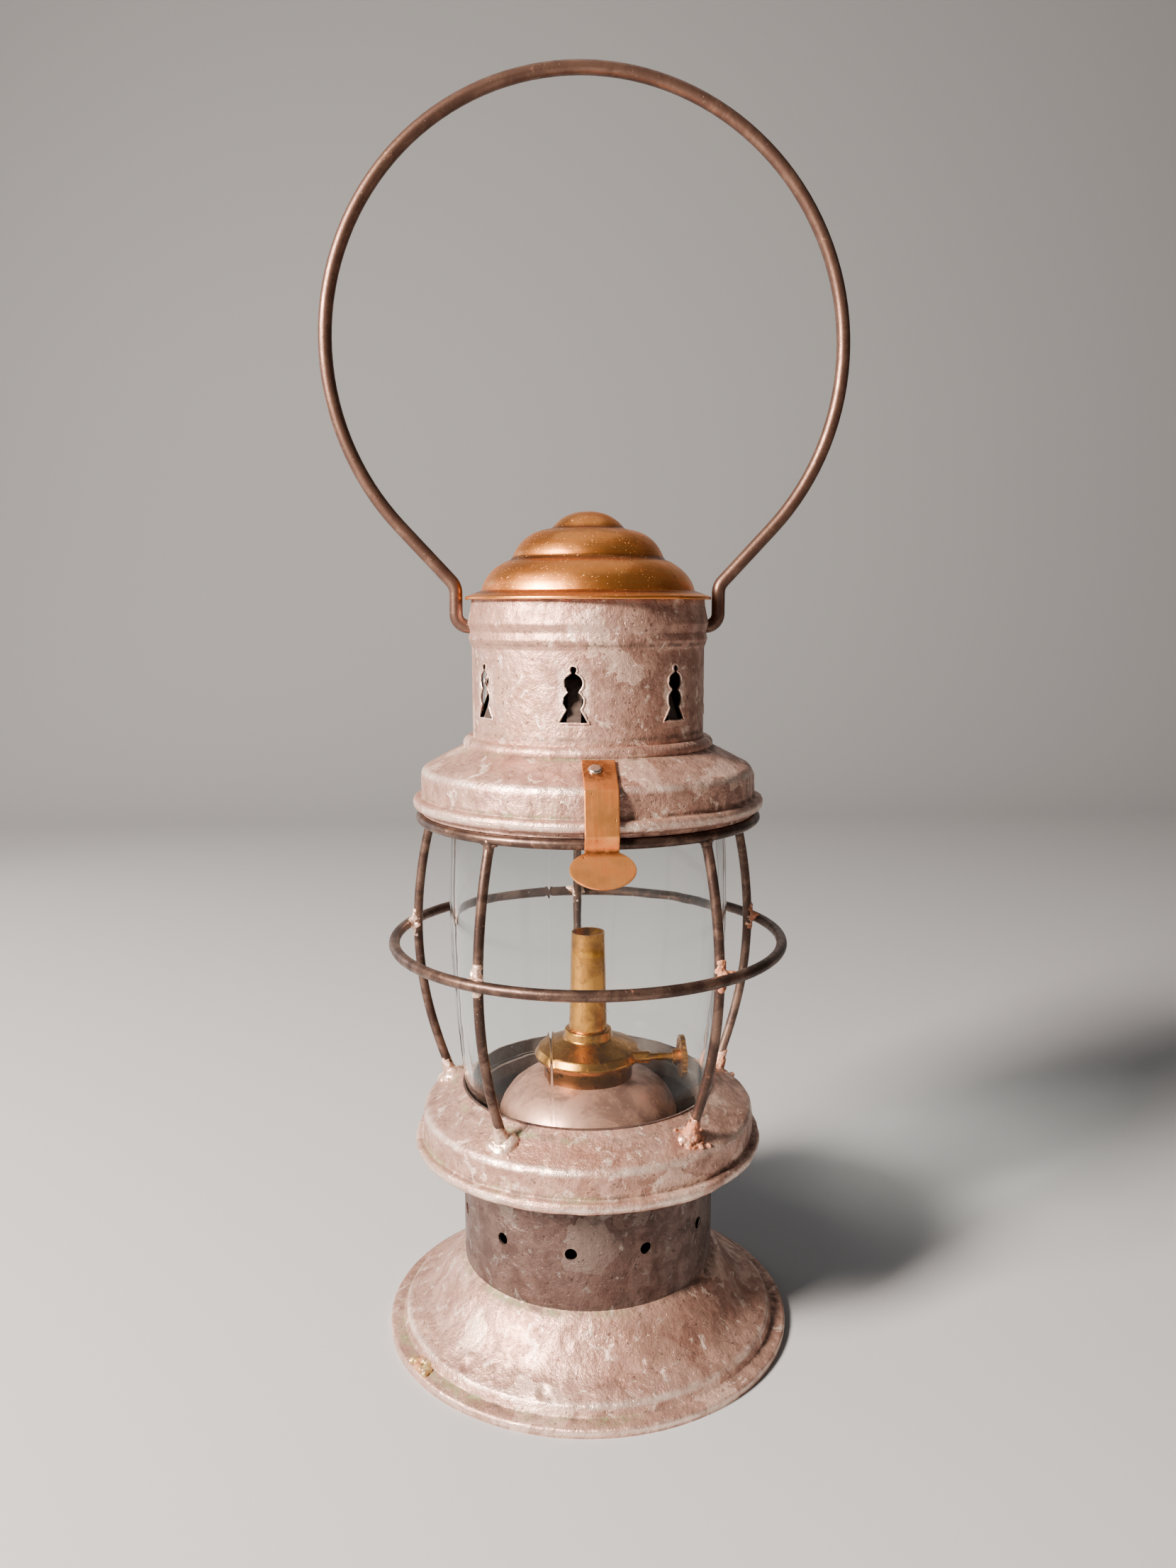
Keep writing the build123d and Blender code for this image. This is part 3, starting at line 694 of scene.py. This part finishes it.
VENT_RADIUS = radius_of("vent_cylinder") - 1.2 * MM
SLOT_COUNT = 7
SLOT_OFFSET = -10.6
SLOT_BOTTOM = 214.1 * MM
SLOT_TOP = 231.8 * MM
SLOT_MIDDLE = (SLOT_BOTTOM + SLOT_TOP) / 2
GLOBE_SEAM = -19.0

# A vent slot's outline in millimetres: (height, radius) of its bud and two lobes, the neck under the bud
# as (low, high, half width), the height where its flared foot ends, and the foot's half width there.
SLOT_LOBES = ((230.5, 1.3), (226.4, 3.1), (220.9, 3.35))
SLOT_NECK = (228.4, 230.0, 0.85)
SLOT_FLARE_TOP = 218.6
SLOT_FLARE_HALF = 2.3
SLOT_FOOT_HALF = 4.9

# Ring marks in the skirt, as (angle, radius).
SKIRT_DIMPLES = ((-44.0, 60.5 * MM), (-17.0, 61.0 * MM))


def skirt_dent(place):
    """Hand-beaten bell with two ring marks near its foot."""
    fade = smooth_step(place.z, top_of("base_skirt") - 1 * MM, top_of("base_skirt") - 7 * MM)
    lift = 0.35 * MM * lumps(place, 26 * MM, 1.0) * fade
    lift += 0.22 * MM * lumps(place, 6 * MM, 2.0) * fade
    if place.z < 3.2 * MM:
        lift = 0.0
    for angle, radius in SKIRT_DIMPLES:
        away = (Vector((place.x, place.y)) - (outward(angle) * radius).xy).length / MM
        lift += (0.40 * math.exp(-((away - 2.6) ** 2) / 0.8) - 0.70 * math.exp(-(away**2) / 3.0)) * MM
    push = 0.25 * MM * lumps(place, 30 * MM, 5.0) * smooth_step(place.z, 4 * MM, 8 * MM) * fade
    return push, lift


def drum_dent(place):
    """Roof and wall a little beaten, and a lip that wanders up and down."""
    radius = Vector((place.x, place.y)).length
    outer = smooth_step(radius, 45 * MM, 50 * MM)
    lift = 0.30 * MM * lumps(place, 22 * MM, 11.0) * outer
    push = (0.30 * MM * lumps(place, 16 * MM, 12.0) + 0.20 * MM * lumps(place, 5 * MM, 13.0)) * outer
    return push, lift


def hood_dent(place):
    """As the drum, but still at the neck, below the lip and under the latch's pad."""
    radius = Vector((place.x, place.y)).length
    fade = smooth_step(radius, 40 * MM, 45 * MM) * smooth_step(place.z, 183.5 * MM, 187 * MM)
    latch_gap = smooth_step(abs(place.x), 5.5 * MM, 9 * MM) if place.y < 0 else 1.0
    lift = 0.28 * MM * lumps(place, 20 * MM, 21.0) * fade * latch_gap
    push = 0.28 * MM * lumps(place, 15 * MM, 22.0)
    push += 0.18 * MM * lumps(place, 5 * MM, 23.0)
    return push * fade * latch_gap, lift


def crown_dent(place):
    """Spun tiers with faint hollows."""
    fade = smooth_step(place.z, bottom_of("crown_cap") + 1 * MM, bottom_of("crown_cap") + 5 * MM)
    return 0.0, -0.22 * MM * abs(lumps(place, 12 * MM, 31.0)) * fade


def globe_seam(place):
    """Blown glass: a slow wander, and a thin raised line where the mould's halves met."""
    arc = (angle_of(place) - GLOBE_SEAM) * math.radians(1) * 45.0
    ridge = 0.16 * math.exp(-((arc / 0.45) ** 2)) if abs(arc) < 3 else 0.0
    return (ridge - 0.12 * abs(lumps(place, 30 * MM, 41.0))) * MM, 0.0


def seam_angles():
    """Even steps round the globe, with finer ones across the mould line."""
    fine = [GLOBE_SEAM + 0.2 * k for k in range(-10, 11)]
    coarse = [a for a in even_angles(180) if min(abs(a - GLOBE_SEAM - 360), abs(a - GLOBE_SEAM)) > 2.1]
    return sorted(a % 360 for a in fine + coarse)


def slot_half_width(height):
    """Half width of a vent slot: two round lobes over a flared foot, with a small bud on top."""
    level = height / MM
    half = 0.0
    for middle, radius in SLOT_LOBES:
        rise = level - middle
        if abs(rise) < radius:
            half = max(half, math.sqrt(radius**2 - rise**2))
    neck_low, neck_high, neck_half = SLOT_NECK
    if neck_low <= level <= neck_high:
        half = max(half, neck_half)
    if level <= SLOT_FLARE_TOP:
        foot = SLOT_BOTTOM / MM
        share = (level - foot) / (SLOT_FLARE_TOP - foot)
        half = max(half, SLOT_FOOT_HALF - (SLOT_FOOT_HALF - SLOT_FLARE_HALF) * share)
    return half * MM


def slot_burr(number, material):
    """Thin torn lip round one vent slot, standing a little proud of the wall."""
    middle = SLOT_OFFSET + 360 * number / SLOT_COUNT
    steps = 46
    heights = [SLOT_BOTTOM + (SLOT_TOP - SLOT_BOTTOM) * k / steps for k in range(steps + 1)]
    line = [(slot_half_width(h), h) for h in heights]
    line = line + [(-across, h) for across, h in reversed(line)]
    foot = slot_half_width(SLOT_BOTTOM)
    line += [(-foot + 2 * foot * k / 12, SLOT_BOTTOM) for k in range(1, 12)]
    points = []
    for across, height in line:
        angle = middle + math.degrees(across / VENT_RADIUS)
        wander = lumps(on_wall(angle, VENT_RADIUS, height), 1.6 * MM, 51.0 + number)
        points.append((angle + 0.25 * wander, VENT_RADIUS + 0.08 * MM, height + 0.15 * MM * wander, wander))
    bm = bmesh.new()
    sides = 8
    rings = []
    for index, (angle, radius, height, wander) in enumerate(points):
        before, after = points[index - 1], points[(index + 1) % len(points)]
        along = on_wall(after[0], after[1], after[2]) - on_wall(before[0], before[1], before[2])
        out = outward(angle)
        level = along.cross(out).normalized() if along.length > 1e-9 else Vector((0, 0, 1))
        thick = (0.34 + 0.16 * wander) * MM
        centre = on_wall(angle, radius, height)
        ring = []
        for side in range(sides):
            turn = 2 * math.pi * side / sides
            offset = out * math.cos(turn) * thick * 0.8 + level * math.sin(turn) * thick
            ring.append(bm.verts.new(centre + offset))
        rings.append(ring)
    join_rings(bm, rings, closed=True)
    add_piece(f"slot_burr_{number + 1}", bm, material, "hood")


# --- Guard solder -----------------------------------------------------------------------------------

ROOF_SLOPE = 0.5584
ROOF_INNER_RADIUS = 43.5
ROOF_INNER_HEIGHT = 86.4


def roof_height(radius):
    """Height of the lower drum's sloping roof."""
    return (ROOF_INNER_HEIGHT - ROOF_SLOPE * (radius / MM - ROOF_INNER_RADIUS)) * MM


def wire_foot(number, angle, material):
    """Solder round a guard wire's foot: a smooth dome on the left, a flat crusted run-out on the right."""
    radius = 50.8 * MM
    seat = on_wall(angle, radius, roof_height(radius) - 0.4 * MM)
    side = outward(angle + 90)
    down = (outward(angle) - Vector((0, 0, ROOF_SLOPE))).normalized()
    crusted = angle < 180
    balls = chain(seat, on_wall(angle, radius + 2.0 * MM, seat.z + 6.5 * MM), 3.0 * MM, 1.72 * MM, 9)
    spread, size = (3.2, 1.6) if crusted else (2.5, 2.9)
    for k in range(11):
        turn = math.radians(33 * k + 17 * number)
        reach = (spread + 0.9 * lumps(Vector((k, number, 0)), 1.3, 61.0)) * MM
        middle = seat + side * math.cos(turn) * reach + down * math.sin(turn) * reach
        balls.append((middle - Vector((0, 0, 0.5 * MM)), (size + 0.35 * math.sin(5.0 * k + number)) * MM))
    for k in range(9 if crusted else 3):
        turn = math.radians(150 * k + 50 * number)
        reach = (5.0 + 1.6 * math.sin(3.0 * k + number)) * MM
        middle = seat + (side * math.cos(turn) + down * math.sin(turn)) * reach
        balls.append((middle + Vector((0, 0, 0.1 * MM)), (0.85 + 0.25 * math.cos(4.0 * k)) * MM))
    grain = 0.5 * MM if crusted else 0.2 * MM
    melted(f"solder_foot_{number}", balls, material, "base", grain=grain)


def ring_joint(number, angle, material):
    """Solder between a guard wire and the middle ring, smeared along both."""
    height = (top_of("guard_mid_ring") + bottom_of("guard_mid_ring")) / 2
    ring_radius = radius_of("guard_mid_ring") - 1.8 * MM
    lean = 1.0 if number % 2 else -1.0

    def near_ring(turn, inward, lift):
        return on_wall(angle + turn * lean, ring_radius - inward * MM, height + lift * MM)

    joint = near_ring(0.0, 1.5, 0.6)
    balls = chain(near_ring(0.0, 3.1, 4.6), near_ring(0.0, 3.1, -3.2), 1.75 * MM, 1.8 * MM, 7)
    balls += chain(joint, near_ring(3.2, 0.4, 0.9), 1.9 * MM, 1.1 * MM, 5)
    balls += chain(joint, near_ring(-2.0, 0.5, 0.0), 1.9 * MM, 1.5 * MM, 4)
    balls += chain(joint, near_ring(-1.3, 2.4, 3.4), 1.3 * MM, 0.55 * MM, 5)
    melted(f"solder_ring_{number}", balls, material, "base", voxel=0.26 * MM)


def hoop_joint(number, angle, material):
    """Brazed neck where a guard wire meets the hoop."""
    under = bottom_of("guard_top_hoop")
    top = on_wall(angle, 55.8 * MM, under + 0.5 * MM)
    low = on_wall(angle, 56.3 * MM, under - 2.2 * MM)
    balls = chain(top, low, 2.0 * MM, 1.68 * MM, 5)
    for side in (-1, 1):
        balls.append((on_wall(angle + 2.4 * side, 55.9 * MM, under + 0.2 * MM), 0.9 * MM))
    melted(f"hoop_joint_{number}", balls, material, "base", grain=0.2 * MM)


def rim_crust(material):
    """Crusted patch on the skirt's rim, left of the front."""
    balls = []
    for k in range(30):
        angle = -58.0 + 3.6 * math.sin(2.4 * k)
        radius = (66.6 + 2.1 * math.sin(1.7 * k + 1)) * MM
        size = (1.05 + 0.4 * math.sin(3.1 * k)) * MM
        balls.append((on_wall(angle, radius, 3.4 * MM), size))
    melted("rim_crust", balls, material, "base", grain=0.25 * MM, voxel=0.22 * MM)


# --- Latch ------------------------------------------------------------------------------------------

LATCH_HALF_WIDTH = 5.1 * MM
LATCH_THICK = 0.8 * MM
TAB_HALF_WIDTH = 9.75 * MM
TAB_HALF_HEIGHT = 6.6 * MM
TAB_ROWS = 20
LATCH_BEND = (56.5 * MM, 196.18 * MM)
LATCH_KNEE = (59.3 * MM, 183.4 * MM)
LATCH_KINK = (57.3 * MM, 178.6 * MM)
TAB_CENTRE = (61.85 * MM, 173.9 * MM)


def rounded_path(points, radii, step):
    """Evenly stepped places along a line of (radius, height) points with rounded corners."""
    path = [Vector(points[0])]
    for before, corner, after, radius in zip(points, points[1:], points[2:], radii):
        corner = Vector(corner)
        back, ahead = (Vector(before) - corner).normalized(), (Vector(after) - corner).normalized()
        half = math.acos(max(-1.0, min(1.0, back.dot(ahead)))) / 2
        reach = radius / math.tan(half)
        count = 7
        for k in range(count + 1):
            share = k / count
            a, b = corner + back * reach * (1 - share), corner + ahead * reach * share
            path.append(a.lerp(b, share))
    path.append(Vector(points[-1]))
    places = [path[0]]
    for a, b in zip(path, path[1:]):
        count = max(1, round((b - a).length / step))
        places += [a.lerp(b, (k + 1) / count) for k in range(count)]
    return places


def latch_strip(material):
    """One bent strip: pad on the roof, leg past the lip, step in under the hoop, and an oval thumb tab."""
    pad_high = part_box("latch_pad")[1]
    start = (-pad_high.y, pad_high.z - 0.7 * MM)
    tab_centre = Vector(TAB_CENTRE)
    tab_run = (tab_centre - Vector(LATCH_KINK)).normalized()
    corners = [start, LATCH_BEND, LATCH_KNEE, LATCH_KINK, TAB_CENTRE]
    path = rounded_path(corners, (0.5 * MM, 1.3 * MM, 1.3 * MM), 0.45 * MM)
    for k in range(1, TAB_ROWS + 1):
        path.append(tab_centre + tab_run * TAB_HALF_HEIGHT * math.sin(math.pi / 2 * k / TAB_ROWS))
    bm = bmesh.new()
    rings = []
    for index, place in enumerate(path):
        before, after = path[max(index - 1, 0)], path[min(index + 1, len(path) - 1)]
        along = (after - before).normalized()
        out = Vector((-along.y, along.x))
        past = min((place - tab_centre).dot(tab_run), TAB_HALF_HEIGHT)
        in_tab = place.y < LATCH_KINK[1] and abs(past) <= TAB_HALF_HEIGHT
        oval = TAB_HALF_WIDTH * math.sqrt(max(0.0, 1 - (past / TAB_HALF_HEIGHT) ** 2)) if in_tab else 0.0
        half = max(oval, 0.05 * MM) if in_tab and past > 0 else max(oval, LATCH_HALF_WIDTH)
        rings.append(latch_ring(bm, place, out, half))
    join_rings(bm, rings, closed=False)
    bm.faces.new(rings[0])
    bm.faces.new(list(reversed(rings[-1])))
    piece = add_piece("latch_strip", bm, material, None)
    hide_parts("latch_pad", "latch_spring")
    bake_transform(piece)


def latch_ring(bm, place, out, half):
    """One cross-section of the strip: flat faces, rounded long edges and a faint waver."""
    across_steps, edge = 22, 0.22 * MM
    upper, lower = [], []
    for k in range(across_steps + 1):
        share = 2 * k / across_steps - 1
        u = half * math.sin(share * math.pi / 2)
        inset = max(0.0, abs(u) - (half - edge)) / edge
        drop = edge * (1 - math.sqrt(max(0.0, 1 - inset**2)))
        spot = Vector((u, -place.x, place.y))
        waver = 0.07 * MM * lumps(spot, 6 * MM, 81.0)
        top = place + out * (LATCH_THICK - drop + waver)
        base = place + out * (drop + 0.02 * MM + max(waver, 0.0))
        upper.append(bm.verts.new((u, -top.x, top.y)))
        lower.append(bm.verts.new((u, -base.x, base.y)))
    return upper + lower[::-1]


# --- Use --------------------------------------------------------------------------------------------

# Grime and painted shade, rubbed metal and painted highlights, and creases, as (height, half width) bands
# in millimetres.
SKIRT_GRIME = ((3.4, 0.9), (24.4, 1.8))
SKIRT_WEAR_AND_HIGHLIGHT = ((6.2, 1.3), (1.5, 1.4))
# On the collar, the wide band at 67 mm is painted shade under the lower drum's lip; the narrow band at 24
# mm darkens the joint with the skirt.
COLLAR_GRIME_AND_SHADE = ((24.0, 2.5), (67.0, 8.0))
DRUM_GRIME = ((70.6, 1.6), (84.6, 1.2))
DRUM_WEAR_AND_HIGHLIGHT = ((68.0, 1.7), (78.5, 1.6))
HOOD_GRIME = ((188.2, 1.3), (203.6, 1.0))
HOOD_WEAR_AND_HIGHLIGHT = ((185.6, 1.6), (196.0, 1.5))
VENT_GRIME = ((209.2, 1.5), (237.6, 1.0))
BURR_WEAR = ((SLOT_MIDDLE / MM, 20.0),)
CROWN_CREASES = ((264.6, 1.6), (274.4, 1.3), (253.9, 1.0))

# Soot and painted shade begin this far inside a wall's outer face.
SOOT_AND_SHADE_DEPTH = 0.4 * MM

# Painted shade: the collar is darkened all over, as if in the shadow of the lower drum's lip.
COLLAR_SHADE_TONE = (0.25, 0.26, 0.28)
# Pieces inside the lantern, dark all over with soot and painted shade.
SOOTY_AND_SHADED_PARTS = ("drum_floor", "globe_seat_ring", "font_lock_ring", "globe_retainer", "chimney_cone")


def shared_looks():
    """The look of each material slot."""
    return {
        "galvanised_steel": galvanised("plain_zinc"),
        "rusty_wire": oxidised_wire("rusty_wire", srgb(64, 48, 42), srgb(112, 88, 76), 0.5),
        "clear_glass": clear_glass("clear_glass"),
        "crown_brass": crown_brass("crown_brass"),
        "latch_brass": strip_brass("latch_brass"),
        "bright_steel": rivet_steel("bright_steel"),
        "bail_wire": oxidised_wire("bail_wire", srgb(88, 64, 54), srgb(116, 88, 74), 0.3),
        "font_tin": oily_tin("font_tin"),
        "aged_brass": burner_brass("aged_brass", top_of("font_collar")),
        "cotton_wick": cotton("cotton_wick"),
    }


def own_looks(hood_zinc):
    """The zinc of the CAD nodes that differ from their slot's plain zinc."""
    collar_inside = radius_of("collar_tube") - SOOT_AND_SHADE_DEPTH
    vent_inside = VENT_RADIUS - SOOT_AND_SHADE_DEPTH
    zinc = {
        "collar_tube": galvanised("collar_zinc", COLLAR_GRIME_AND_SHADE, (), COLLAR_SHADE_TONE, 0.5, collar_inside),
        "vent_cylinder": galvanised("vent_zinc", VENT_GRIME, (), None, 0.2, vent_inside, slots=True),
        "hood_bead_ring": hood_zinc,
    }
    return zinc | dict.fromkeys(SOOTY_AND_SHADED_PARTS, galvanised("sooty_shaded_zinc", soot_and_shade_inside=0.2))


def dress_cad(shared, own):
    """Give each CAD mesh its own look where it has one, and else its material slot's look."""
    for row in frame["record"]["subparts"]:
        node = row["node"]
        cad_mesh = NODES[node].data
        cad_mesh.materials.clear()
        cad_mesh.materials.append(own.get(node, shared[row["material_slot"]]))


def add_spun_shells(shared, hood_zinc):
    """Uneven skins in place of the large spun CAD nodes."""
    skirt_zinc = galvanised("skirt_zinc", SKIRT_GRIME, SKIRT_WEAR_AND_HIGHLIGHT, moss=0.8)
    drum_zinc = galvanised("drum_zinc", DRUM_GRIME, DRUM_WEAR_AND_HIGHLIGHT, moss=0.9)
    brass, glass = shared["crown_brass"], shared["clear_glass"]
    spun("skirt_shell", "base_skirt", skirt_zinc, "base", skirt_dent, 0.9 * MM, even_angles(440))
    spun("drum_shell", "lower_drum", drum_zinc, "base", drum_dent)
    spun("hood_shell", "hood_drum", hood_zinc, "hood", hood_dent)
    spun("crown_shell", "crown_cap", brass, "hood", crown_dent, 1.0 * MM, even_angles(216))
    spun("globe_shell", "globe", glass, "base", globe_seam, 2.0 * MM, seam_angles())


def add_slot_burrs():
    burr_zinc = galvanised("burr_zinc", wear_and_highlight=BURR_WEAR)
    for slot in range(SLOT_COUNT):
        slot_burr(slot, burr_zinc)


def add_guard_solder(wire_scale):
    """Solder at each guard wire's foot, middle and head: duller on the lantern's right."""
    silver_solder = solder_metal("silver_solder", 0.60, srgb(226, 194, 174))
    rusty_solder = solder_metal("rusty_solder", 0.40, srgb(200, 160, 138))
    for number, angle in enumerate(GUARD_ANGLES, 1):
        solder = rusty_solder if angle < 180 else silver_solder
        wire_foot(number, angle, solder)
        ring_joint(number, angle, solder)
        hoop_joint(number, angle, wire_scale)


add_camera()
add_lights()
add_floor()
hood_zinc = galvanised("hood_zinc", HOOD_GRIME, HOOD_WEAR_AND_HIGHLIGHT, moss=0.7)
shared = shared_looks()
dress_cad(shared, own_looks(hood_zinc))
add_spun_shells(shared, hood_zinc)
add_slot_burrs()
add_guard_solder(shared["rusty_wire"])
rim_crust(solder_metal("crust_scale", 0.46, srgb(186, 162, 108)))
latch_strip(shared["latch_brass"])
